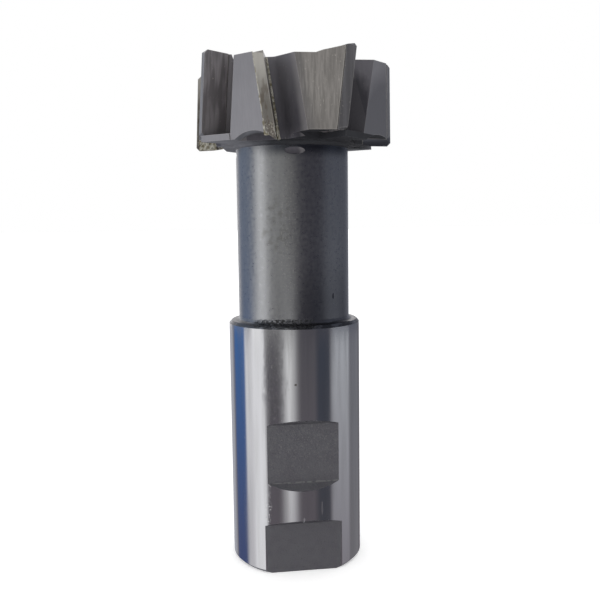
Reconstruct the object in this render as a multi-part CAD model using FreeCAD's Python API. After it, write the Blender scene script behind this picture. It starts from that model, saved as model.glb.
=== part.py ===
import FreeCAD, Part
import math
import os

# T-slot cutter: one steel body with eight brazed carbide tips, staggered so that the odd ones cut
# with the top face and the even ones with the underside. The origin is the centre of the shank's
# end face, and the axis runs up +Z to the cutting head. Azimuth is counted from -Y towards +X.
# Every second tooth is alike, and a tooth is drawn in a frame of its own: x outward, y the way the
# cutter turns and z along the axis.

# Driving sizes, in millimetres and degrees

# Shank
shank_diameter = 32.0
shank_length = 59.2
shank_end_chamfer = 0.8
shoulder_chamfer = 0.7
turning_seam_angle = 52.5

# Clamping flats, milled with end walls that lean outward
upper_flat_from_end = 22.0
upper_flat_length = 13.9
upper_flat_depth = 2.4
lower_flat_length = 11.7
lower_flat_depth = 2.9
flat_wall_angle = 31.0

# Neck
neck_step = 2.5
neck_length = 41.8
neck_foot_fillet = 1.0
neck_top_fillet = 0.9

# Head
head_thickness = 17.6
cutting_diameter = 47.2
tooth_pairs = 4
first_tooth_azimuth = 26.5
edge_slant_angle = 8.3
rake_angle = 8.0

# Carbide tips
tip_length = 18.5
tip_width = 6.5
tip_thickness = 2.2
tip_relief_angle = 12.0
tip_corner = 0.8
top_tip_rise = 2.3
bottom_tip_drop = 0.7
braze_thickness = 0.15

# Steel behind the tips
steel_set_back = 0.1
land_relief_angle = 27.0
land_ramp_angle = 14.0
land_ramp_length = 7.0
land_ramp_foot = 8.3
scoop_radius = 7.7
scoop_depth = 1.5
scoop_back = 5.9
pocket_start = 0.3
pocket_length = 7.0
pocket_end_radius = 3.0
scoop_off_neck = 1.7

# Gullets
top_gullet_angle = 20.0
bottom_gullet_angle = 17.0
gullet_floor_length = 1.0
gullet_fillet = 2.0

# End faces
top_dish_radius = 16.2
top_dish_angle = 22.0
top_recess_diameter = 22.0
top_recess_depth = 1.2
centre_hole_diameter = 4.0
centre_hole_depth = 9.0
centre_cone_angle = 60.0
shank_centre_mouth = 9.0
top_centre_mouth = 7.0

# Oval marks that the grinding wheel left on the neck, ahead of each bottom-cutting tooth
graze_wheel_radius = 1.9
graze_depth = 0.2
graze_below_head = 2.2
graze_ahead_angle = 14.0
graze_length = 8.0

# Reach past a surface, and past a land's end, so that every cut comes out clean
past = 1.0
land_overrun_angle = 7.0

# Places worked out from the driving sizes
shank_radius = shank_diameter / 2
neck_radius = shank_radius - neck_step
edge_radius = cutting_diameter / 2
underside = shank_length + neck_length
flat_top = underside + head_thickness
top_tip_end = flat_top + top_tip_rise
top_tip_start = top_tip_end - tip_length
bottom_tip_start = underside - bottom_tip_drop
bottom_tip_end = bottom_tip_start + tip_length
head_middle = (bottom_tip_start + top_tip_end) / 2
seat_depth = tip_width + braze_thickness
seat_back = tip_thickness + braze_thickness
outside = edge_radius + past
pair_pitch = 360.0 / tooth_pairs
tooth_pitch = pair_pitch / 2


def tangent(angle):
    return math.tan(math.radians(angle))


def vector(x, y, z):
    return FreeCAD.Vector(x, y, z)


def edge_drift(lean, z):
    # How far the slanted edge lies ahead of its middle at height z
    return lean * tangent(edge_slant_angle) * (z - head_middle)


def slanted_prism(edges, lean, bottom, top):
    # Solid whose walls follow the slanted edge, from its outline at the head's middle
    outline = Part.Wire(edges)
    outline.translate(vector(0, edge_drift(lean, bottom), bottom))
    rise = vector(0, edge_drift(lean, top) - edge_drift(lean, bottom), top - bottom)
    return Part.Face(outline).extrude(rise)


def polygon_edges(points):
    corners = [vector(x, y, 0) for x, y in points]
    return Part.makePolygon(corners + corners[:1]).Edges


def radial_prism(points, start, end):
    # Solid with its outline in the tooth's y-z plane, drawn out along x
    corners = [vector(start, y, z) for y, z in points]
    outline = Part.makePolygon(corners + corners[:1])
    return Part.Face(outline).extrude(vector(end - start, 0, 0))


def tooth_placement(azimuth):
    return FreeCAD.Placement(vector(0, 0, 0), FreeCAD.Rotation(vector(0, 0, 1), azimuth - 90.0))


def placed(shape, azimuth):
    copy = shape.copy()
    copy.Placement = tooth_placement(azimuth)
    return copy


class Tooth:
    # The two kinds of tooth: lean is +1 where the top end of the edge leads, -1 where the bottom does
    def __init__(self, cuts_top):
        self.cuts_top = cuts_top
        self.lean = 1 if cuts_top else -1
        self.start = top_tip_start if cuts_top else bottom_tip_start
        self.end = top_tip_end if cuts_top else bottom_tip_end
        self.gullet_angle = top_gullet_angle if cuts_top else bottom_gullet_angle
        self.seat_start = self.start if cuts_top else self.start - past
        self.azimuth = first_tooth_azimuth + (0 if cuts_top else tooth_pitch)

    def azimuths(self):
        return [self.azimuth + pair_pitch * pair for pair in range(tooth_pairs)]

    def drift(self, z):
        return edge_drift(self.lean, z)


def rake_point(inward, back):
    # Place measured from the cutting edge: inward along the rake face, then square behind it
    rake = math.radians(rake_angle)
    x = edge_radius - inward * math.cos(rake) + back * math.sin(rake)
    return x, -inward * math.sin(rake) - back * math.cos(rake)


def flank_point(radius, back):
    # Place on a flank that starts at this radius, where it is this far behind the rake face
    rake = math.radians(rake_angle)
    behind = back / (math.cos(rake) - tangent(tip_relief_angle) * math.sin(rake))
    return radius - behind * tangent(tip_relief_angle), -behind


def land_point(angle_behind):
    # Place on the flat land, at an angle behind the cutting edge
    start_x, start_y = flank_point(edge_radius - steel_set_back, seat_back)
    angle = math.radians(angle_behind)
    slope = tangent(land_relief_angle)
    radius = (start_x - start_y * slope) / (math.cos(angle) + math.sin(angle) * slope)
    return radius * math.cos(angle), -radius * math.sin(angle)


def gullet_land(tooth):
    # Where the gullet's back facet meets the land of the tooth ahead
    x, y = land_point(tooth_pitch - tooth.gullet_angle)
    radius = math.hypot(x, y)
    angle = math.radians(tooth.gullet_angle)
    return vector(radius * math.cos(angle), radius * math.sin(angle), 0)


def gullet_outline(tooth):
    # Tip seat, floor, round corner and back facet in one outline
    rake = math.radians(rake_angle)
    foot = vector(*rake_point(seat_depth, 0.0), 0)
    outward = vector(math.cos(rake), math.sin(rake), 0)
    floor_end = foot + vector(-math.sin(rake), math.cos(rake), 0) * gullet_floor_length
    centre = floor_end + outward * gullet_fillet
    land = gullet_land(tooth)
    reach = land - centre
    turn = math.acos(gullet_fillet / reach.Length)
    away = math.atan2(reach.y, reach.x) + turn
    facet_start = centre + vector(math.cos(away), math.sin(away), 0) * gullet_fillet
    middle = centre + (floor_end + facet_start - centre * 2).normalize() * gullet_fillet
    facet_way = (land - facet_start).normalize()
    facet_end = land + facet_way * ((outside - land.x) / facet_way.x)
    seat_mouth = vector(*rake_point(-2 * past, seat_back), 0)
    seat_root = vector(*rake_point(seat_depth, seat_back), 0)
    return [
        Part.makeLine(seat_mouth, seat_root),
        Part.makeLine(seat_root, floor_end),
        Part.Arc(floor_end, middle, facet_start).toShape(),
        Part.makeLine(facet_start, facet_end),
        Part.makeLine(facet_end, seat_mouth),
    ]


def gullet_and_seat(tooth):
    return slanted_prism(gullet_outline(tooth), tooth.lean, tooth.seat_start, top_tip_end + past)


def far_out(x, y):
    # The place beyond the blank that lies in line with the axis and this one
    scale = cutting_diameter / math.hypot(x, y)
    return x * scale, y * scale


def land_relief_cut(tooth, neighbour):
    # Everything outside the tooth's flank, its land and the thin floor ahead of it
    land = gullet_land(tooth)
    steel_edge = edge_radius - steel_set_back
    steel_back = flank_point(steel_edge, seat_back)
    land_end = land_point(tooth_pitch - neighbour.gullet_angle + land_overrun_angle)
    points = [
        far_out(land.x, land.y),
        (land.x, land.y),
        (steel_edge, 0.0),
        steel_back,
        land_end,
        far_out(*land_end),
    ]
    bottom = bottom_tip_start - past
    return slanted_prism(polygon_edges(points), tooth.lean, bottom, top_tip_end + past)


def top_ramp(tooth):
    # Steel that backs a top-cutting tip above the flat top and falls away behind it
    edge_y = tooth.drift(tooth.end)
    lip_z = tooth.end - steel_set_back
    back_z = lip_z - seat_back * tangent(tip_relief_angle)
    ramp_z = back_z - (land_ramp_length - seat_back) * tangent(land_ramp_angle)
    points = [
        (edge_y, flat_top - past),
        (edge_y, lip_z),
        (edge_y - seat_back, back_z),
        (edge_y - land_ramp_length, ramp_z),
        (edge_y - land_ramp_foot, flat_top),
        (edge_y - land_ramp_foot, flat_top - past),
    ]
    return radial_prism(points, neck_radius, outside)


def underside_scoop(tooth):
    # Round hollow that the grinding wheel leaves behind a bottom-cutting edge
    centre_y = tooth.drift(tooth.start) - scoop_back
    centre_z = underside + scoop_depth - scoop_radius
    start = neck_radius + scoop_off_neck
    centre = vector(start, centre_y, centre_z)
    return Part.makeCylinder(scoop_radius, outside + past - start, centre, vector(1, 0, 0))


def underside_pocket(tooth):
    # Relief ground level with the lower end of a top-cutting tip, with a round run-out behind
    start = neck_radius + scoop_off_neck
    back = pocket_start + pocket_length
    points = [
        rake_point(-2 * past, pocket_start),
        rake_point(edge_radius - start, pocket_start),
        (start, -back),
        (outside + past, -back),
    ]
    flat = slanted_prism(polygon_edges(points), tooth.lean, underside - past, tooth.start)
    centre = vector(start, tooth.drift(tooth.start) - back, tooth.start - pocket_end_radius)
    run_out = Part.makeCylinder(pocket_end_radius, outside + past - start, centre, vector(1, 0, 0))
    return flat.fuse(run_out)


def neck_graze():
    centre_x = neck_radius - graze_depth + graze_wheel_radius
    centre = vector(centre_x, -graze_length / 2, underside - graze_below_head)
    return Part.makeCylinder(graze_wheel_radius, graze_length, centre, vector(0, 1, 0))


def turned_blank():
    # Shank, neck and head as they leave the lathe, before any milling. The turned faces close on a
    # line that lies behind, clear of the flats.
    shank_top = shank_length
    points = [
        (0.0, 0.0),
        (shank_radius - shank_end_chamfer, 0.0),
        (shank_radius, shank_end_chamfer),
        (shank_radius, shank_top - shoulder_chamfer),
        (shank_radius - shoulder_chamfer, shank_top),
        (neck_radius, shank_top),
        (neck_radius, underside),
        (edge_radius, underside),
        (edge_radius, flat_top),
        (0.0, flat_top),
    ]
    corners = [vector(x, 0, z) for x, z in points]
    profile = Part.Face(Part.makePolygon(corners + corners[:1]))
    blank = profile.revolve(vector(0, 0, 0), vector(0, 0, 1), 360)
    blank.rotate(vector(0, 0, 0), vector(0, 0, 1), turning_seam_angle)
    foot = [edge for edge in blank.Edges if circle_at(edge, neck_radius, shank_top)]
    head = [edge for edge in blank.Edges if circle_at(edge, neck_radius, underside)]
    return blank.makeFillet(neck_foot_fillet, foot).makeFillet(neck_top_fillet, head)


def circle_at(edge, radius, z):
    round_edge = isinstance(edge.Curve, Part.Circle)
    return round_edge and abs(edge.Curve.Radius - radius) < 0.001 and abs(edge.Curve.Center.z - z) < 0.001


def flat_cut(start, length, depth):
    # A flat on the -Y side whose end walls lean outward, so that each ends in a curved crest
    spread = (depth + past) * tangent(flat_wall_angle)
    inner = depth - shank_radius
    outer = -shank_radius - past
    corners = [
        vector(-shank_radius, inner, start),
        vector(-shank_radius, outer, start - spread),
        vector(-shank_radius, outer, start + length + spread),
        vector(-shank_radius, inner, start + length),
    ]
    outline = Part.makePolygon(corners + corners[:1])
    return Part.Face(outline).extrude(vector(shank_diameter, 0, 0))


def clamping_flats():
    lower_start = -past
    lower = flat_cut(lower_start, lower_flat_length - lower_start, lower_flat_depth)
    upper = flat_cut(upper_flat_from_end, upper_flat_length, upper_flat_depth)
    return [lower, upper]


def centre_hole(mouth, z, inward):
    # Pilot hole and its 60 degree cone, entered from the end face at z
    cone_depth = (mouth - centre_hole_diameter) / 2 / tangent(centre_cone_angle / 2)
    start = vector(0, 0, z)
    axis = vector(0, 0, inward)
    cone = Part.makeCone(mouth / 2, centre_hole_diameter / 2, cone_depth, start, axis)
    pilot = Part.makeCylinder(centre_hole_diameter / 2, centre_hole_depth, start, axis)
    return cone.fuse(pilot)


def top_dish():
    # Clears the middle of the top face, so that only the teeth stand above it
    height = top_tip_end + past - flat_top
    rim = top_dish_radius + height * tangent(top_dish_angle)
    return Part.makeCone(top_dish_radius, rim, height, vector(0, 0, flat_top))


def end_face_cuts():
    recess_floor = flat_top - top_recess_depth
    recess = Part.makeCylinder(
        top_recess_diameter / 2, top_recess_depth + past, vector(0, 0, recess_floor)
    )
    top_centre = centre_hole(top_centre_mouth, recess_floor, -1)
    shank_centre = centre_hole(shank_centre_mouth, 0.0, 1)
    return [recess, top_centre, shank_centre]


def steel_envelope(top_tooth, bottom_tooth):
    # The body with its lands and end reliefs ground, before gullets and seats are milled
    added = [placed(top_ramp(top_tooth), azimuth) for azimuth in top_tooth.azimuths()]
    envelope = turned_blank().fuse(added)
    cuts = [top_dish()]
    for tooth in (top_tooth, bottom_tooth):
        neighbour = bottom_tooth if tooth.cuts_top else top_tooth
        relief = underside_pocket(tooth) if tooth.cuts_top else underside_scoop(tooth)
        for azimuth in tooth.azimuths():
            cuts.append(placed(land_relief_cut(tooth, neighbour), azimuth))
            cuts.append(placed(relief, azimuth))
    return envelope.cut(cuts).removeSplitter()


def cutter_body(envelope, top_tooth, bottom_tooth):
    cuts = clamping_flats() + end_face_cuts()
    for tooth in (top_tooth, bottom_tooth):
        cuts += [placed(gullet_and_seat(tooth), azimuth) for azimuth in tooth.azimuths()]
    cuts += [placed(neck_graze(), azimuth + graze_ahead_angle) for azimuth in bottom_tooth.azimuths()]
    return envelope.cut(cuts).removeSplitter()


def tip_block(tooth, bottom, top):
    # The tip's own room in its seat, open to the front and the outside
    points = [
        rake_point(tip_width, -past),
        rake_point(-3 * past, -past),
        rake_point(-3 * past, tip_thickness),
        rake_point(tip_width, tip_thickness),
    ]
    return slanted_prism(polygon_edges(points), tooth.lean, bottom, top)


def carbide_tip(tooth):
    points = [
        rake_point(tip_width, 0.0),
        (edge_radius, 0.0),
        flank_point(edge_radius, tip_thickness),
        rake_point(tip_width, tip_thickness),
    ]
    block = slanted_prism(polygon_edges(points), tooth.lean, tooth.start, tooth.end)
    cuts = [end_relief_cut(tooth, tooth.end, 1)]
    if not tooth.cuts_top:
        cuts += [end_relief_cut(tooth, tooth.start, -1), underside_scoop(tooth)]
    for end, way in ((tooth.end, 1), (tooth.start, -1)):
        cuts.append(corner_cut(tooth, end, way))
    return block.cut(cuts)


def end_relief_cut(tooth, end, way):
    # Wedge beyond a cutting end face, which falls away behind the edge; way is +1 up and -1 down
    edge_y = tooth.drift(end)
    reach = tip_thickness + tip_width
    back_y = edge_y - reach
    back_z = end - way * reach * tangent(tip_relief_angle)
    ahead_z = end + way * past * tangent(tip_relief_angle)
    points = [
        (edge_y + past, ahead_z),
        (back_y, back_z),
        (back_y, end + way * past),
        (edge_y + past, end + way * past),
    ]
    return radial_prism(points, neck_radius, outside)


def corner_cut(tooth, end, way):
    # Small 45 degree chamfer between a tip's outer edge and its end
    corners = [
        vector(edge_radius - tip_corner, 0, end),
        vector(edge_radius, 0, end - way * tip_corner),
        vector(outside, 0, end - way * tip_corner),
        vector(outside, 0, end + way * past),
        vector(edge_radius - tip_corner, 0, end + way * past),
    ]
    outline = Part.makePolygon(corners + corners[:1])
    chamfer = Part.Face(outline).extrude(vector(0, tip_thickness + 3 * past, 0))
    chamfer.translate(vector(0, tooth.drift(end) - tip_thickness - 2 * past, 0))
    return chamfer


def braze_seam(tooth, envelope, azimuth):
    # Alloy that fills the seat round the tip, flush with the steel
    points = [
        rake_point(seat_depth, 0.0),
        rake_point(-2 * past, 0.0),
        rake_point(-2 * past, seat_back),
        rake_point(seat_depth, seat_back),
    ]
    top = top_tip_end + past
    seat = slanted_prism(polygon_edges(points), tooth.lean, tooth.seat_start, top)
    bottom = tooth.seat_start - past
    block = tip_block(tooth, bottom, top + past)
    layer = placed(seat.cut(block), azimuth)
    return layer.common(envelope)


def tooth_name(part, tooth, pair):
    place = 2 * pair + (1 if tooth.cuts_top else 2)
    return f"{part}_{place}"


def main():
    os.makedirs("parts", exist_ok=True)
    top_tooth = Tooth(True)
    bottom_tooth = Tooth(False)
    envelope = steel_envelope(top_tooth, bottom_tooth)
    pieces = {"cutter_body": cutter_body(envelope, top_tooth, bottom_tooth)}
    for tooth in (top_tooth, bottom_tooth):
        tip = carbide_tip(tooth)
        for pair, azimuth in enumerate(tooth.azimuths()):
            pieces[tooth_name("carbide_tip", tooth, pair)] = placed(tip, azimuth)
            pieces[tooth_name("braze_seam", tooth, pair)] = braze_seam(tooth, envelope, azimuth)
    for name, shape in sorted(pieces.items()):
        shape.exportStep(f"parts/{name}.step")
        print(name, len(shape.Solids), round(shape.Volume, 2), shape.isValid())


main()
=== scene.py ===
import math

import bpy
from mathutils import Matrix, Vector, noise


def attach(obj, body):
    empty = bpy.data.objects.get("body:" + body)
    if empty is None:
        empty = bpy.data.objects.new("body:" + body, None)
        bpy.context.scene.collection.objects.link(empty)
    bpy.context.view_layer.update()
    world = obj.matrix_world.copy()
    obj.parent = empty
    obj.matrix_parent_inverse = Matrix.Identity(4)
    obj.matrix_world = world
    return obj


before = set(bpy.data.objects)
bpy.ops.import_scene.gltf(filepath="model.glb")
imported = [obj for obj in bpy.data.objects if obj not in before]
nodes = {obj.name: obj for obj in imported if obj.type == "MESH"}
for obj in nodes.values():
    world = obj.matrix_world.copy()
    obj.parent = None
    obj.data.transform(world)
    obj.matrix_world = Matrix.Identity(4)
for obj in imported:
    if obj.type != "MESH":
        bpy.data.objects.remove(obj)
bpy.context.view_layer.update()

MM = 0.001

# The cutter, in millimetres and degrees. Azimuth 0 is where the flats face
shank_radius = 16.0
shank_top = 59.2
shoulder_chamfer = 0.7
neck_radius = 13.5
underside = 101.0
flat_top = 118.6
first_tooth_azimuth = 26.5
tooth_pitch = 45.0
tooth_count = 8
flux_stained_teeth = (4, 6, 8)
# Gullets lean: degrees that their edges turn per millimetre of height, and how far round the edge
# behind the first tooth is where its line meets the shank's end
gullet_lean = 0.382
gullet_edge = 39.9

# The camera, in millimetres and degrees, before the cutter, which is turned a little to the left
room_turn = -7.594
focal_pixels = 746.6
image_pixels = 600
sensor_mm = 36.0
camera_place = (1.503, -183.40, 83.31)
camera_pitch = -6.139
camera_roll = 0.743
camera_nearest = 10.0

body = nodes["cutter_body"]


def linear(hex_colour):
    """sRGB hex to the linear colour that a shader takes."""
    parts = [int(hex_colour[i:i + 2], 16) / 255 for i in (1, 3, 5)]
    return tuple(c / 12.92 if c <= 0.04045 else ((c + 0.055) / 1.055) ** 2.4 for c in parts) + (1.0,)


def add(material, kind, inputs=(), out=0, **settings):
    """Adds a shader node with its settings and links, and gives one of its outputs."""
    tree = material.node_tree
    node = tree.nodes.new("ShaderNode" + kind)
    for name, value in settings.items():
        setattr(node, name, value)
    for name, value in dict(inputs).items():
        if isinstance(value, bpy.types.NodeSocket):
            tree.links.new(value, node.inputs[name])
        else:
            node.inputs[name].default_value = value
    return node.outputs[out] if node.outputs else node


def new_material(name):
    material = bpy.data.materials.new(name)
    material.use_nodes = True
    material.node_tree.nodes.clear()
    return material


# Places on the surface

def surface_mm(m):
    """The point on the surface, in millimetres."""
    place = add(m, "TexCoord", out="Object")
    return add(m, "VectorMath", {0: place, 1: (1 / MM,) * 3}, operation="MULTIPLY")


def unrolled(m, radius):
    """The round surface laid flat: arc to the right of the flats' middle, and height, in millimetres."""
    place = add(m, "SeparateXYZ", {0: surface_mm(m)}).node.outputs
    front = add(m, "Math", {0: place["Y"], 1: -1.0}, operation="MULTIPLY")
    angle = add(m, "Math", {0: place["X"], 1: front}, operation="ARCTAN2")
    arc = add(m, "Math", {0: angle, 1: radius}, operation="MULTIPLY")
    return add(m, "CombineXYZ", {"X": arc, "Z": place["Z"]})


# Patterns, with their sizes in millimetres

def grain(m, place, size, low=0.3, high=0.7, detail=3.0, roughness=0.5, share=1.0):
    """Soft noise in patches of this size along x, y and z: 0 at its lows and the share at its highs.
    The share is how much of any pattern shows, and may be a pattern itself."""
    scaled = add(m, "VectorMath", {0: place, 1: tuple(1 / s for s in size)}, operation="MULTIPLY")
    cloud = add(m, "TexNoise", {"Vector": scaled, "Scale": 1.0, "Detail": detail, "Roughness": roughness})
    return add(m, "MapRange", {"Value": cloud, "From Min": low, "From Max": high, "To Max": share},
               interpolation_type="SMOOTHSTEP")


def patch(m, place, centre, size, ragged=0.6, share=1.0):
    """The share inside a ragged oval of this half size round the centre, 0 outside it."""
    offset = add(m, "VectorMath", {0: place, 1: centre}, operation="SUBTRACT")
    scaled = add(m, "VectorMath", {0: offset, 1: tuple(1 / s for s in size)}, operation="MULTIPLY")
    reach = add(m, "VectorMath", {0: scaled}, out="Value", operation="LENGTH")
    rough = add(m, "TexNoise", {"Vector": scaled, "Scale": 2.0, "Detail": 3.0})
    rough = add(m, "Math", {0: rough, 1: ragged, 2: -ragged / 2}, operation="MULTIPLY_ADD")
    edge = add(m, "Math", {0: reach, 1: rough}, operation="ADD")
    # The border is soft, from three quarters of the half size to a tenth outside it
    return add(m, "MapRange", {"Value": edge, "From Min": 0.75, "From Max": 1.1,
                               "To Min": share, "To Max": 0.0})


def fading(m, place, full, gone, share=1.0):
    """The share at the first height, fading until it is gone at the second."""
    height = add(m, "SeparateXYZ", {0: place}).node.outputs["Z"]
    return add(m, "MapRange", {"Value": height, "From Min": full, "From Max": gone,
                               "To Min": share, "To Max": 0.0}, interpolation_type="SMOOTHSTEP")


def beside_gullet(m, degrees, share):
    """The share at the gullet's edge behind each coarse tooth, gone this many degrees away from it."""
    # On this radius, a millimetre of arc is a degree
    place = unrolled(m, math.degrees(1.0))
    upright = add(m, "VectorMath", {0: place, 1: (1.0, 0.0, gullet_lean)}, out="Value",
                  operation="DOT_PRODUCT")
    turn = add(m, "Math", {0: upright, 1: gullet_edge + tooth_pitch, 2: gullet_edge - tooth_pitch},
               operation="WRAP")
    return add(m, "MapRange", {"Value": turn, "From Min": gullet_edge, "From Max": gullet_edge + degrees,
                               "To Min": share, "To Max": 0.0}, interpolation_type="SMOOTHSTEP")


def worn_and_highlit_edges(m, width, share=1.0):
    """The share within this width of an edge, where handling has rubbed the skin bright and where the
    edge's highlight is painted in.
    """
    rounded = add(m, "Bevel", {"Radius": width * MM}, samples=4)
    true = add(m, "NewGeometry", out="True Normal")
    along = add(m, "VectorMath", {0: rounded, 1: true}, out="Value", operation="DOT_PRODUCT")
    # Cosines of the angle between the two, from 6 degrees to 22
    return add(m, "MapRange", {"Value": along, "From Min": 0.995, "From Max": 0.93, "To Max": share})


def tinted(m, colour, *layers):
    """Lays tints over a colour, each as an amount and a hex colour."""
    colour = linear(colour)
    for amount, tint in layers:
        colour = add(m, "MixRGB", {"Fac": amount, "Color1": colour, "Color2": linear(tint)})
    return colour


def relief(m, *layers):
    """Stacks surface relief, each as a height pattern and its depth in millimetres."""
    normal = None
    for height, depth in layers:
        inputs = {"Height": height, "Distance": abs(depth) * MM, "Strength": 1.0}
        if normal is not None:
            inputs["Normal"] = normal
        normal = add(m, "Bump", inputs, invert=depth < 0)
    return normal


def bare_metal(m, colour, smooth, rough, amount, normal, scattered=0.0):
    """Metal whose roughness goes from smooth to rough with the amount. The scattered share stands for
    an oxide skin or a coarse cut, which returns an even light instead of a reflection."""
    roughness = add(m, "MapRange", {"Value": amount, "To Min": smooth, "To Max": rough})
    shader = add(m, "BsdfPrincipled", {"Base Color": colour, "Roughness": roughness, "Normal": normal,
                                       "Metallic": 1 - scattered})
    add(m, "OutputMaterial", {"Surface": shader})
    return m


# Finishes of the one-piece steel body

def ground_shank_steel():
    # Hardened tool steel, cylindrically ground: long clean reflections with hair-fine rings across
    # them, faint oil smears, and a scuffed band of small dents, which sparkle beside the bright strip
    # through their bumps and painted highlight specks.
    # The wheel's 0.05 mm lines are drawn 0.25 mm apart, the finest that shows
    m = new_material("ground_shank_steel")
    place = unrolled(m, shank_radius)
    rings = grain(m, place, (30.0, 1.0, 0.25))
    smears = grain(m, place, (1.6, 1.0, 24.0), 0.3, 0.75)
    scuffed = patch(m, place, (-6.9, 0.0, 47.0), (2.9, 1.0, 12.5), 1.2)
    rubbed_dull = grain(m, place, (1.3, 1.0, 2.4), 0.38, 0.60, 4.0, 0.6, share=scuffed)
    dents = grain(m, place, (0.7, 1.0, 1.0), 0.50, 0.72, share=scuffed)
    # Painted highlight: pale specks on the scuffed band's small dents, which are also bumped
    painted_sparks_on_dents = grain(m, place, (0.3, 1.0, 0.4), 0.64, 0.74, share=scuffed)
    dull = add(m, "Math", {0: smears, 1: rubbed_dull}, operation="ADD", use_clamp=True)
    # Painted highlight: a few near-white specks low on the shank stand in for glints
    painted_glints = grain(m, place, (0.3, 1.0, 0.4), 0.60, 0.66, 2.0,
                   share=patch(m, place, (-8.7, 0.0, 17.5), (0.8, 1.0, 5.0), 0.8))
    lone_dents = grain(m, place, (0.8, 1.0, 0.9), 0.72, 0.78, 2.0, share=0.5)
    pit = patch(m, place, (-1.8, 0.0, 45.8), (0.32, 1.0, 0.24), 0.9)
    scratch = patch(m, place, (4.1, 0.0, 16.2), (0.2, 1.0, 1.6), 1.2, 0.8)
    nick = patch(m, place, (-0.2, 0.0, 13.6), (0.16, 1.0, 0.55), 0.6)
    colour = tinted(m, "#c5c5c8", (smears, "#bdbdbf"), (lone_dents, "#77726f"), (rubbed_dull, "#adadb0"),
                    (painted_sparks_on_dents, "#dededd"), (painted_glints, "#f2f2f0"), (pit, "#7d7976"), (scratch, "#efece8"),
                    (nick, "#ffffff"))
    normal = relief(m, (rings, 0.0006), (dents, 0.002), (painted_sparks_on_dents, 0.012), (painted_glints, 0.02),
                    (lone_dents, -0.01), (pit, -0.008), (scratch, 0.012), (nick, 0.03))
    return bare_metal(m, colour, 0.09, 0.2, dull, normal)


def milled_flat_steel():
    # Clamping flat, end milled and left bare: matt, speckled with fine light grains, and burred pale
    # where the upper flat meets its lower wall
    m = new_material("milled_flat_steel")
    place = surface_mm(m)
    tooth_marks = grain(m, place, (0.45, 1.0, 0.45), detail=4.0, roughness=0.75)
    cloud = grain(m, place, (2.6, 1.0, 2.2))
    specks = grain(m, place, (0.34, 1.0, 0.34), 0.50, 0.70, 2.0, share=fading(m, place, 34.0, 13.0, 0.7))
    pits = grain(m, place, (0.4, 1.0, 0.35), 0.60, 0.74, 2.0, share=0.35)
    burr = grain(m, place, (0.7, 1.0, 0.5), 0.35, 0.55,
                 share=patch(m, place, (0.8, -13.6, 22.0), (9.5, 3.0, 0.17), 0.2, 0.8))
    nick = patch(m, place, (-0.2, -15.2, 12.9), (0.16, 1.6, 0.7), 0.6)
    colour = tinted(m, "#87868b", (cloud, "#8f8f93"), (specks, "#a3a3a5"), (pits, "#67666a"),
                    (burr, "#bbbbba"), (nick, "#ffffff"))
    normal = relief(m, (tooth_marks, 0.04), (pits, -0.02), (burr, 0.03))
    return bare_metal(m, colour, 0.42, 0.58, cloud, normal, 0.14)


def turned_neck_steel():
    # Heat-treated steel as turned: satin, darker and warmer than the ground shank, with rings that
    # grow coarser under the head, a mottled skin and brownish stains. A band of fine pale grains down
    # its middle is a painted highlight. Under the head it is dark with heat colour and painted shade,
    # its lower right is darkened by painted shade, and dirt has caked at its foot
    m = new_material("turned_neck_steel")
    place = unrolled(m, neck_radius)
    solid = surface_mm(m)
    fine = grain(m, place, (40.0, 1.0, 0.25))
    coarse = grain(m, place, (50.0, 1.0, 0.6), share=fading(m, place, 98.0, 92.0))
    mottle = grain(m, place, (0.9, 1.0, 0.8), detail=4.0, roughness=0.65)
    upright = grain(m, place, (0.7, 1.0, 7.0), 0.35, 0.75, share=0.35)
    stains = grain(m, place, (1.6, 1.0, 1.4), 0.44, 0.66,
                   share=patch(m, place, (-5.6, 0.0, 82.0), (3.6, 1.0, 7.0), 1.4, 0.30))
    # Painted highlight: an upright band of fine pale grains down the middle of the neck
    painted_highlight_grains = grain(m, place, (0.32, 1.0, 0.4), 0.56, 0.68, 2.0,
                   share=patch(m, place, (-2.4, 0.0, 79.0), (2.4, 1.0, 19.0), 1.2, 0.5))
    nick = patch(m, place, (8.4, 0.0, 65.5), (0.3, 1.0, 0.75), 0.9)
    # Under the head: dark heat colour and painted shade laid as one tint
    heat_colour_and_painted_shade = fading(m, place, 99.7, 96.8,
                         share=patch(m, place, (8.0, 0.0, 100.0), (17.0, 1.0, 15.0), 0.3, 0.85))
    # Painted shade: the lower right of the neck is darkened
    painted_shade_lower_right = fading(m, place, 61.0, 79.0,
                   share=patch(m, place, (6.8, 0.0, 62.0), (8.4, 1.0, 20.0), 0.3, 0.6))
    caked = grain(m, solid, (0.55, 0.55, 0.45), 0.42, 0.60, 4.0, 0.7,
                  share=patch(m, place, (-4.0, 0.0, 59.5), (8.5, 1.0, 1.1), 1.0, 0.85))
    seam_dirt = grain(m, solid, (2.5, 2.5, 1.0), 0.35, 0.5,
                      share=patch(m, place, (0.0, 0.0, 58.9), (50.0, 1.0, 0.75), 0.5, 0.7))
    grey_crumbs = grain(m, solid, (0.3, 0.3, 0.3), 0.60, 0.68, 2.0, share=caked)
    colour = tinted(m, "#9c9da1", (mottle, "#abacad"), (upright, "#b4b5b6"), (stains, "#5e5a4c"),
                    (painted_highlight_grains, "#d5d4cf"), (nick, "#35363c"), (heat_colour_and_painted_shade, "#474b56"), (painted_shade_lower_right, "#5f6168"),
                    (seam_dirt, "#3a3a3d"), (caked, "#262525"), (grey_crumbs, "#8b8a88"))
    normal = relief(m, (fine, 0.0012), (coarse, 0.006), (mottle, 0.0015), (nick, -0.015), (caked, 0.12))
    return bare_metal(m, colour, 0.26, 0.42, mottle, normal)


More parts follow.
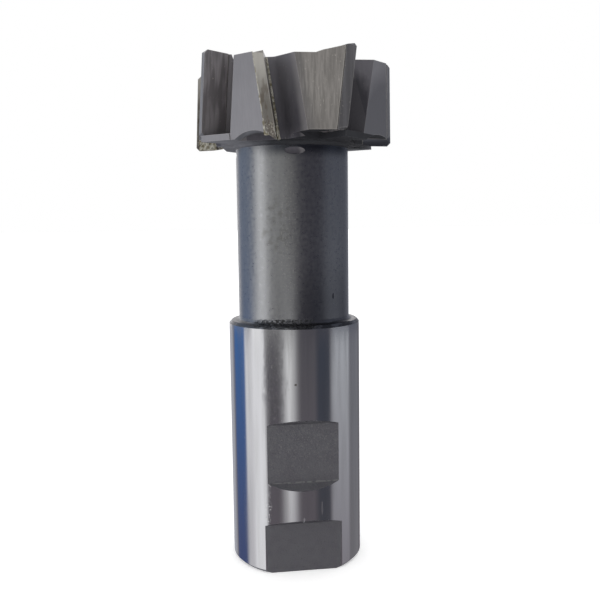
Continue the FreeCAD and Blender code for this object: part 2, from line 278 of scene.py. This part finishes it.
def coarse_land_steel():
    # Back of a top-cutting tooth, side milled coarsely: upright streaks and pale torn grains under
    # an even light. It is darker towards the gullet behind it
    m = new_material("coarse_milled_land")
    place = surface_mm(m)
    streaks = grain(m, place, (0.42, 0.42, 8.0), roughness=0.6)
    torn = grain(m, place, (0.34, 0.34, 0.8), 0.60, 0.74, roughness=0.7, share=0.45)
    cloud = grain(m, place, (5.0, 5.0, 7.0), share=0.35)
    colour = tinted(m, "#8c8884", (streaks, "#726f6b"), (cloud, "#706c69"), (torn, "#bfbab2"),
                    (fading(m, place, 102.5, 112.0, 0.30), "#5d5a58"),
                    (beside_gullet(m, 8.5, 0.5), "#4a494d"), (worn_and_highlit_edges(m, 0.22, 0.35), "#bdbab5"))
    return bare_metal(m, colour, 0.5, 0.62, cloud, relief(m, (streaks, 0.03), (torn, 0.03)), 0.8)


def fine_land_steel():
    # Back of a bottom-cutting tooth, milled finely: an even grey with faint upright lines, a little
    # darker towards the top, and darkened by painted shade on one tooth on the right
    m = new_material("fine_milled_land")
    place = surface_mm(m)
    streaks = grain(m, place, (0.26, 0.26, 5.0), roughness=0.6, share=0.6)
    cloud = grain(m, place, (5.0, 5.0, 7.0), share=0.4)
    # Painted shade: darkens the land of the tooth on the right
    painted_shade = patch(m, place, (20.0, -11.0, 100.0), (10.0, 10.0, 17.0), 0.5, 0.9)
    colour = tinted(m, "#88878b", (streaks, "#7f7e83"), (cloud, "#7f7e83"), (painted_shade, "#606065"),
                    (fading(m, place, 118.0, 106.0, 0.25), "#66656a"),
                    (worn_and_highlit_edges(m, 0.2, 0.4), "#b5b4b3"))
    return bare_metal(m, colour, 0.42, 0.54, cloud, relief(m, (streaks, 0.006)), 0.55)


def darkened_gullet_steel():
    # Gullet floor and seat wall, milled before hardening: a dull blue-black skin with faint upright
    # tool marks. It is painted lighter towards its open top and where the land behind the next tooth
    # begins, and black with painted shade in one gullet and at the foot of another
    m = new_material("darkened_gullet_steel")
    place = surface_mm(m)
    marks = grain(m, place, (0.5, 0.5, 9.0), 0.35, 0.7, share=0.3)
    cloud = grain(m, place, (2.5, 2.5, 4.0))
    specks = grain(m, place, (0.4, 0.4, 0.5), 0.68, 0.76, 2.0, share=0.5)
    # Painted shade: black in the gullet under the coarse tooth and at one tooth's foot
    painted_shade = patch(m, place, (12.5, -14.5, 106.0), (4.0, 4.0, 10.0), 0.6, 0.8)
    painted_shade_foot = fading(m, place, 102.5, 103.1,
                       share=patch(m, place, (19.5, -2.0, 101.0), (6.5, 6.5, 9.0), 0.2, 0.9))
    # Painted light: lighter towards the gullet's open top and beside the land behind the next tooth
    colour = tinted(m, "#4d4c53", (cloud, "#58565d"), (marks, "#68666a"),
                    (fading(m, place, 119.5, 103.0, 0.75), "#7b797e"),
                    (beside_gullet(m, -3.2, 0.6), "#8b888a"), (painted_shade, "#333238"), (painted_shade_foot, "#26272d"),
                    (specks, "#8d8b8a"), (worn_and_highlit_edges(m, 0.16, 0.3), "#9b9998"))
    return bare_metal(m, colour, 0.36, 0.5, cloud, relief(m, (marks, 0.012), (cloud, 0.02)), 0.55)


def faced_head_steel(name, colour, pale, painted_shade, edge_wear_and_highlight, matt, scattered):
    # Flat end of the head: turned rings round the axis under a dark skin, thin and satin on the top,
    # and dull on the underside, where a darker colour and a near-black film on one side are painted shade
    m = new_material(name)
    place = surface_mm(m)
    reach = add(m, "VectorMath", {0: place, 1: (1.0, 1.0, 0.0)}, operation="MULTIPLY")
    reach = add(m, "VectorMath", {0: reach}, out="Value", operation="LENGTH")
    rings = grain(m, add(m, "CombineXYZ", {"X": reach}), (0.35, 1.0, 1.0))
    cloud = grain(m, place, (3.0, 3.0, 3.0), detail=4.0)
    # Painted shade: a near-black film on the front right of the underside
    painted_shade_film = patch(m, place, (10.0, -9.0, underside), (21.0, 21.0, 30.0), 0.3, painted_shade)
    colour = tinted(m, colour, (cloud, pale), (painted_shade_film, "#17181e"), (worn_and_highlit_edges(m, 0.2, edge_wear_and_highlight), "#b9b8b6"))
    return bare_metal(m, colour, matt, matt + 0.16, cloud, relief(m, (rings, 0.008)), scattered)


# Finishes of the teeth

def ground_carbide(name, colour, band, scattered):
    # Sintered tungsten carbide, ground with a diamond wheel: grey and satin, banded along the tooth,
    # with edges worn and lightened by a painted highlight. One tip's foot is darkened by painted shade
    m = new_material(name)
    place = surface_mm(m)
    bands = grain(m, place, (1.5, 1.5, 40.0), 0.35, 0.65, 2.0)
    wheel = grain(m, place, (2.0, 2.0, 0.25))
    specks = grain(m, place, (0.3, 0.3, 0.4), 0.68, 0.76, 2.0, share=0.5)
    # Painted shade: darkens one tip's foot
    painted_shade_foot = fading(m, place, 101.9, 102.5,
                       share=patch(m, place, (19.0, -6.0, 101.0), (6.5, 6.5, 5.0), 0.2, 0.9))
    colour = tinted(m, colour, (bands, band), (fading(m, place, 102.0, 112.0, 0.35), band),
                    (specks, "#cfcbbd"), (worn_and_highlit_edges(m, 0.25, 0.4), "#a9a7a4"), (painted_shade_foot, "#3b3c43"))
    return bare_metal(m, colour, 0.28, 0.46, specks, relief(m, (wheel, 0.0015)), scattered)


def flux_stained_carbide():
    # The same carbide where the flux burnt on: pale at the top, browned and sooty below, with margins
    # lightened by wear and a painted highlight, and a crumbly foot
    m = new_material("flux_stained_carbide")
    place = surface_mm(m)
    bands = grain(m, place, (1.0, 1.0, 22.0), 0.35, 0.65)
    soot = fading(m, place, 107.0, 117.5, 0.92)
    rust = grain(m, place, (0.9, 0.9, 2.6), 0.45, 0.60, 4.0, 0.6, share=fading(m, place, 109.0, 116.0, 0.7))
    crumbs = grain(m, place, (0.4, 0.4, 0.5), 0.48, 0.62, share=fading(m, place, 102.0, 105.5, 0.8))
    colour = tinted(m, "#aeaba5", (bands, "#9b9893"), (soot, "#64615c"), (rust, "#574e45"),
                    (crumbs, "#9d9991"), (worn_and_highlit_edges(m, 0.35, 0.5), "#a5a29c"))
    return bare_metal(m, colour, 0.28, 0.46, soot, relief(m, (crumbs, 0.03), (rust, 0.01)), 0.45)


def brazing_alloy(name, colour, tarnish):
    # Silver brazing alloy as it froze: lumpy, and tarnished brown to black in its hollows
    m = new_material(name)
    place = surface_mm(m)
    lumps = grain(m, place, (0.4, 0.4, 0.4), roughness=0.6)
    hollows = grain(m, place, (0.8, 0.8, 1.1), 0.42, 0.62, 4.0, 0.6)
    black = grain(m, place, (0.5, 0.5, 0.6), 0.58, 0.68, share=0.8)
    colour = tinted(m, colour, (hollows, tarnish), (black, "#3b352b"))
    return bare_metal(m, colour, 0.3, 0.5, hollows, relief(m, (lumps, 0.08)), 0.5)


# Room, in metres and degrees, with its lights as linear colours

card_height = 1.6
ring_border = -0.05
wall_radius = 0.80
# Each card stands this far inside the one before it, and is made of strips about this wide
layer_gap = 0.01
strip_degrees = 2
level_card_reach = 2.0
floor_reach = 6.0
# Heights between which a card goes over from its lower light to its upper one
card_turns_low = -0.34
card_turns_high = -0.07
# Cards that the shank mirrors stand below the border, those of the neck and head above it: name,
# first and last azimuth from the camera's side, width of the fade, and light, with another light
# where it differs at the foot of the shank's mirror image
low_cards = [
    ("low_wall", -180.0, 180.0, 0.0, (0.140, 0.135, 0.150), (0.165, 0.148, 0.165)),
    ("low_back", 166.0, 224.0, 18.0, (0.52, 0.53, 0.58)),
    ("low_blue", -131.0, -93.0, 8.0, (0.082, 0.195, 0.47), (0.095, 0.125, 0.27)),
    ("low_window", -95.0, -53.0, 5.0, (1.16, 1.16, 1.17)),
    ("low_window_side", -96.0, -79.0, 10.0, (1.08, 1.08, 1.09), (0.78, 0.77, 0.79)),
    ("low_centre", -18.0, -1.0, 24.0, (1.12, 1.13, 1.11), (0.82, 0.81, 0.83)),
    ("low_navy", 38.0, 64.0, 10.0, (0.070, 0.080, 0.105), (0.095, 0.095, 0.110)),
    ("low_right", 66.0, 111.0, 9.0, (0.57, 0.59, 0.62), (0.34, 0.325, 0.355)),
    ("low_far_right", 111.0, 150.0, 14.0, (0.235, 0.24, 0.27), (0.245, 0.24, 0.255)),
]
high_cards = [
    ("high_wall", -180.0, 180.0, 0.0, (0.088, 0.086, 0.105)),
    ("high_back", 146.0, 166.0, 12.0, (0.36, 0.37, 0.42)),
    ("high_far_back", 166.0, 218.0, 10.0, (0.95, 0.93, 0.94)),
    ("high_blue", -142.0, -86.0, 10.0, (0.27, 0.32, 0.42)),
    ("high_window", -79.0, -54.0, 14.0, (1.44, 1.44, 1.43)),
    ("high_left", -54.0, -12.0, 20.0, (0.46, 0.46, 0.45)),
    ("high_centre", -12.0, 6.0, 16.0, (0.28, 0.275, 0.27)),
    ("high_right", 68.0, 146.0, 14.0, (0.155, 0.165, 0.20)),
]
light_from_above = (0.13, 0.13, 0.15)
light_from_below = (0.06, 0.07, 0.10)
white = (1.0, 1.0, 1.0, 1.0)


def pale_paper():
    # Matt paper that the cutter stands on, faintly fibrous and evenly lit
    m = new_material("pale_paper")
    fibre = grain(m, surface_mm(m), (1.5, 1.5, 1.5))
    colour = tinted(m, "#f7f7f7", (fibre, "#fbfbfb"))
    shader = add(m, "BsdfPrincipled", {"Base Color": colour, "Roughness": 0.9,
                                       "Emission Color": white, "Emission Strength": 0.35})
    add(m, "OutputMaterial", {"Surface": shader})
    return m


def lit_card(name, light_above, light_below):
    # Lit card: fades out towards its upright edges, and changes its light down its height
    m = new_material(name)
    share = add(m, "SeparateXYZ", {0: add(m, "UVMap")})
    edge = add(m, "MapRange", {"Value": share}, interpolation_type="SMOOTHSTEP")
    height = add(m, "SeparateXYZ", {0: add(m, "TexCoord", out="Object")}).node.outputs["Z"]
    rise = add(m, "MapRange", {"Value": height, "From Min": card_turns_low, "From Max": card_turns_high})
    light = add(m, "MixRGB", {"Fac": rise, "Color1": light_below + (1.0,), "Color2": light_above + (1.0,)})
    glow = add(m, "Emission", {"Color": light})
    shader = add(m, "MixShader", {"Fac": edge, 1: add(m, "BsdfTransparent"), 2: glow})
    add(m, "OutputMaterial", {"Surface": shader})
    return m


def mesh_object(name, vertices, faces, material):
    mesh = bpy.data.meshes.new(name)
    mesh.from_pydata(vertices, [], faces)
    mesh.materials.append(material)
    obj = bpy.data.objects.new(name, mesh)
    bpy.context.scene.collection.objects.link(obj)
    return obj


def level_square(name, reach, z, material):
    corners = [(-reach, -reach, z), (reach, -reach, z), (reach, reach, z), (-reach, reach, z)]
    return mesh_object(name, corners, [(0, 1, 2, 3)], material)


def seen_only_in_metal(obj):
    obj.visible_camera = False
    obj.visible_diffuse = False
    obj.visible_shadow = False
    obj.visible_transmission = False


def in_room(azimuth, radius, z):
    """A place round the cutter. Azimuth 0 is towards the camera, and it grows to the right."""
    angle = math.radians(azimuth + room_turn)
    return (radius * math.sin(angle), -radius * math.cos(angle), z)


def card(radius, low, high, name, start, end, fade, light_above, light_below=None):
    """An upright curved card round the cutter. Its light fades over this many degrees at each edge."""
    first = start - fade / 2
    last = end + fade / 2
    steps = max(2, int((last - first) / strip_degrees))
    vertices, faces, shares = [], [], []
    for step in range(steps + 1):
        azimuth = first + (last - first) * step / steps
        vertices += [in_room(azimuth, radius, low), in_room(azimuth, radius, high)]
        shares.append(min(azimuth - first, last - azimuth) / fade if fade else 1.0)
    for step in range(steps):
        faces.append((2 * step, 2 * step + 1, 2 * step + 3, 2 * step + 2))
    obj = mesh_object(name, vertices, faces, lit_card(name, light_above, light_below or light_above))
    fade_map = obj.data.uv_layers.new(name="UVMap")
    for polygon in obj.data.polygons:
        for corner, vertex in zip(polygon.loop_indices, polygon.vertices):
            fade_map.data[corner].uv = (shares[vertex // 2], 0.0)
    seen_only_in_metal(obj)


def level_card(name, z, light):
    m = new_material(name)
    add(m, "OutputMaterial", {"Surface": add(m, "Emission", {"Color": light + (1.0,)})})
    seen_only_in_metal(level_square(name, level_card_reach, z, m))


def room():
    for rows, low, high in ((low_cards, -card_height, ring_border), (high_cards, ring_border, card_height)):
        for layer, row in enumerate(rows):
            card(wall_radius - layer_gap * layer, low, high, *row)
    level_card("card_above", card_height, light_from_above)
    level_card("card_below", -card_height, light_from_below)
    floor = level_square("floor", floor_reach, 0.0, pale_paper())
    floor.visible_glossy = False
    world = bpy.data.worlds.new("studio")
    bpy.context.scene.world = world
    world.use_nodes = True
    backdrop = world.node_tree.nodes["Background"].inputs
    backdrop["Color"].default_value = white
    backdrop["Strength"].default_value = 1.0


def camera():
    data = bpy.data.cameras.new("camera")
    data.sensor_width = sensor_mm
    data.lens = focal_pixels / image_pixels * sensor_mm
    data.clip_start = camera_nearest * MM
    data.dof.use_dof = False
    pitch = math.radians(camera_pitch)
    roll = math.radians(camera_roll)
    forward = Vector((0.0, math.cos(pitch), math.sin(pitch)))
    level_right = Vector((1.0, 0.0, 0.0))
    level_up = Vector((0.0, -math.sin(pitch), math.cos(pitch)))
    right = level_right * math.cos(roll) - level_up * math.sin(roll)
    up = level_right * math.sin(roll) + level_up * math.cos(roll)
    stand = Matrix((right, up, -forward)).transposed().to_4x4()
    stand.translation = Vector(camera_place) * MM
    obj = bpy.data.objects.new("camera", data)
    obj.matrix_world = Matrix.Rotation(math.radians(room_turn), 4, "Z") @ stand
    bpy.context.scene.collection.objects.link(obj)
    bpy.context.scene.camera = obj


# The body's finishes, face by face

# Heights and radii that sort the faces by their centres, in millimetres. The centre of a face on a
# round surface lies a little inside it
ground_below = shank_top - shoulder_chamfer - 0.05
flats_inside = shank_radius - 0.12
centre_hole_reach = 8.0
end_face_below = 0.01
foot_fillet_below = shank_top + 1.2
neck_below = underside - 1.1
neck_inside = neck_radius + 2.0
seat_run_out_above = 97.0
seat_run_out_inside = neck_radius - 0.04
hub_inside = 15.0
top_above = flat_top - 14.0
gullets_inside = 19.6
# Below this height the head's outside steps back under the top-cutting teeth
relieved_foot = 102.6
# How far up or down a flat end of the head faces at least, where 1 is straight up or down
level_share = 0.35
# Degrees that a land's faces are turned from straight outward, and a tip's rake face at least
land_turns = (-32.0, 40.0)
rake_turn = 50.0
# A land lies within this many degrees behind its tooth's azimuth
land_reach = 37.0


def azimuth_of(v):
    return math.degrees(math.atan2(v.x, -v.y))


def turned_outward(centre, normal):
    """Degrees that a face is turned away from straight outward."""
    return (azimuth_of(normal) - azimuth_of(centre) + 180.0) % 360.0 - 180.0


def body_zone(centre, normal):
    """Which finish a face of the body has, from its place and the way it faces."""
    radius = math.hypot(centre.x, centre.y)
    if centre.z < ground_below:
        milled = centre.y < 0 and centre_hole_reach < radius < flats_inside and centre.z > end_face_below
        return "flat" if milled else "shank"
    if radius < neck_inside and centre.z < neck_below or centre.z < foot_fillet_below:
        # The cutter that milled the seats just touched the neck
        touched = radius < seat_run_out_inside and centre.z > seat_run_out_above
        return "gullet" if touched else "neck"
    if abs(normal.z) > level_share or radius < hub_inside:
        return "top" if centre.z > top_above and normal.z > 0 else "underside"
    # The relieved feet on the right take the underside's finish, with its painted shade
    if centre.z < relieved_foot and centre.x > 0:
        return "underside"
    if radius < gullets_inside or not land_turns[0] < turned_outward(centre, normal) < land_turns[1]:
        return "gullet"
    # A land belongs to the tooth ahead of it
    behind_first = (azimuth_of(centre) + land_reach - first_tooth_azimuth) % (2 * tooth_pitch)
    return "coarse_land" if behind_first < tooth_pitch and centre.z > relieved_foot else "fine_land"


def dress_body():
    finishes = {
        "shank": ground_shank_steel(),
        "flat": milled_flat_steel(),
        "neck": turned_neck_steel(),
        "coarse_land": coarse_land_steel(),
        "fine_land": fine_land_steel(),
        "gullet": darkened_gullet_steel(),
        "top": faced_head_steel("faced_top_steel", "#807e7f", "#8b898a", 0.0, 0.4, 0.3, 0.3),
        # The underside is a darker copy of the top's finish: its colours are painted shade under the head
        "underside": faced_head_steel("faced_underside_steel", "#595a60", "#65666c", 0.9, 0.03, 0.8, 1.0),
    }
    order = list(finishes)
    body.data.materials.clear()
    for finish in finishes.values():
        body.data.materials.append(finish)
    for polygon in body.data.polygons:
        polygon.material_index = order.index(body_zone(polygon.center / MM, polygon.normal))


# Brazing alloy that ran out of the seats, as lumps laid over four corners on a tooth:
# radius, angle ahead of the tooth's place, and height of each corner
stained_runs = {
    "rake_run": ((17.65, 1.9, 100.9), (17.2, 3.4, 100.9), (17.7, -6.7, 118.4), (17.3, -5.2, 118.4)),
    "flank_run": ((23.02, -3.4, 101.9), (23.24, -1.8, 101.9), (23.22, -9.6, 118.4), (23.36, -8.0, 118.4)),
    "foot_crust": ((23.08, -3.4, 101.2), (23.62, 3.0, 101.2), (23.11, -4.3, 104.2), (23.63, 2.1, 104.2)),
    "rake_crust": ((18.6, 2.4, 100.5), (22.9, 3.6, 100.5), (18.65, 1.4, 103.0), (22.95, 2.6, 103.0)),
}
# Faces across and along, and mean height, spread and size of the lumps in millimetres
run_lumps = {
    "rake_run": (6, 110, -0.20, 0.24, 0.7),
    "flank_run": (6, 110, -0.10, 0.16, 0.55),
    "foot_crust": (34, 24, -0.16, 0.34, 0.6),
    "rake_crust": (40, 28, 0.06, 0.34, 0.7),
}
# How deep under the four corners a skin's underside and its rim lie
buried = 0.3
sunk_rim = 0.1
# Small lumps ride on the large ones: how many times finer they are, and how high in proportion
small_lumps_finer = 3
small_lumps_height = 0.4


def tooth_point(number, radius, ahead, z):
    angle = math.radians(first_tooth_azimuth + tooth_pitch * (number - 1) + ahead)
    return Vector((radius * math.sin(angle), -radius * math.cos(angle), z))


def lumpy_sheet(name, corners, across, along, mean, spread, size, material):
    """A closed skin of frozen lumps over four corners, whose underside is buried in the metal."""
    first, second, third, fourth = corners
    outward = (second - first).cross(third - first).normalized()
    top, bottom = [], []
    for j in range(along + 1):
        v = j / along
        for i in range(across + 1):
            u = i / across
            base = first.lerp(second, u).lerp(third.lerp(fourth, u), v)
            large = spread * noise.noise(base / size)
            small = small_lumps_height * spread * noise.noise(base * small_lumps_finer / size)
            # The skin rises from its rim over a quarter of its width and a twelfth of its length. The
            # rim sinks into the metal, and so do the hollows between the lumps
            rim = min(1.0, 4 * min(u, 1 - u, 3 * v, 3 - 3 * v))
            height = (mean + large + small) * rim - sunk_rim * (1 - rim)
            top.append(base + outward * max(-buried / 2, height))
            bottom.append(base - outward * buried)
    row = across + 1
    count = len(top)
    faces = []
    for j in range(along):
        for i in range(across):
            a = j * row + i
            faces.append((a, a + 1, a + row + 1, a + row))
            faces.append((count + a, count + a + row, count + a + row + 1, count + a + 1))
    near_end = list(range(row))
    right_side = [j * row + across for j in range(1, along + 1)]
    far_end = [along * row + i for i in range(across - 1, -1, -1)]
    left_side = [j * row for j in range(along - 1, 0, -1)]
    around = near_end + right_side + far_end + left_side
    for a, b in zip(around, around[1:] + around[:1]):
        faces.append((a, count + a, count + b, b))
    obj = mesh_object(name, [p * MM for p in top + bottom], faces, material)
    for polygon in obj.data.polygons:
        polygon.use_smooth = True
    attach(obj, "root")


def dress_teeth():
    """Dresses each seam and tip, with the rake face apart, and lays the alloy that ran out over them."""
    bright_alloy = brazing_alloy("silver_braze", "#c9c6ba", "#7f7862")
    tarnished_alloy = brazing_alloy("tarnished_braze", "#6d6a66", "#565350")
    # The backs and rake faces are two copies of one carbide: the rake faces are painted lighter and the
    # backs darker, as light falls on them
    backs = ground_carbide("ground_carbide_back", "#7f7e81", "#6a696b", 0.4)
    rakes = ground_carbide("ground_carbide_rake", "#9a9698", "#726e70", 0.5)
    stained = flux_stained_carbide()
    for number in range(1, tooth_count + 1):
        burnt = number in flux_stained_teeth
        alloy = bright_alloy if burnt else tarnished_alloy
        tip = nodes[f"carbide_tip_{number}"].data
        seam = nodes[f"braze_seam_{number}"].data
        tip.materials.clear()
        seam.materials.clear()
        seam.materials.append(alloy)
        for finish in (stained, stained) if burnt else (backs, rakes):
            tip.materials.append(finish)
        for polygon in tip.polygons:
            polygon.material_index = int(turned_outward(polygon.center, polygon.normal) > rake_turn)
        for name, corners in stained_runs.items() if burnt else ():
            places = [tooth_point(number, *corner) for corner in corners]
            lumpy_sheet(f"{name}_{number}", places, *run_lumps[name], alloy)


room()
camera()
dress_body()
dress_teeth()
bpy.context.scene.view_settings.view_transform = "Standard"
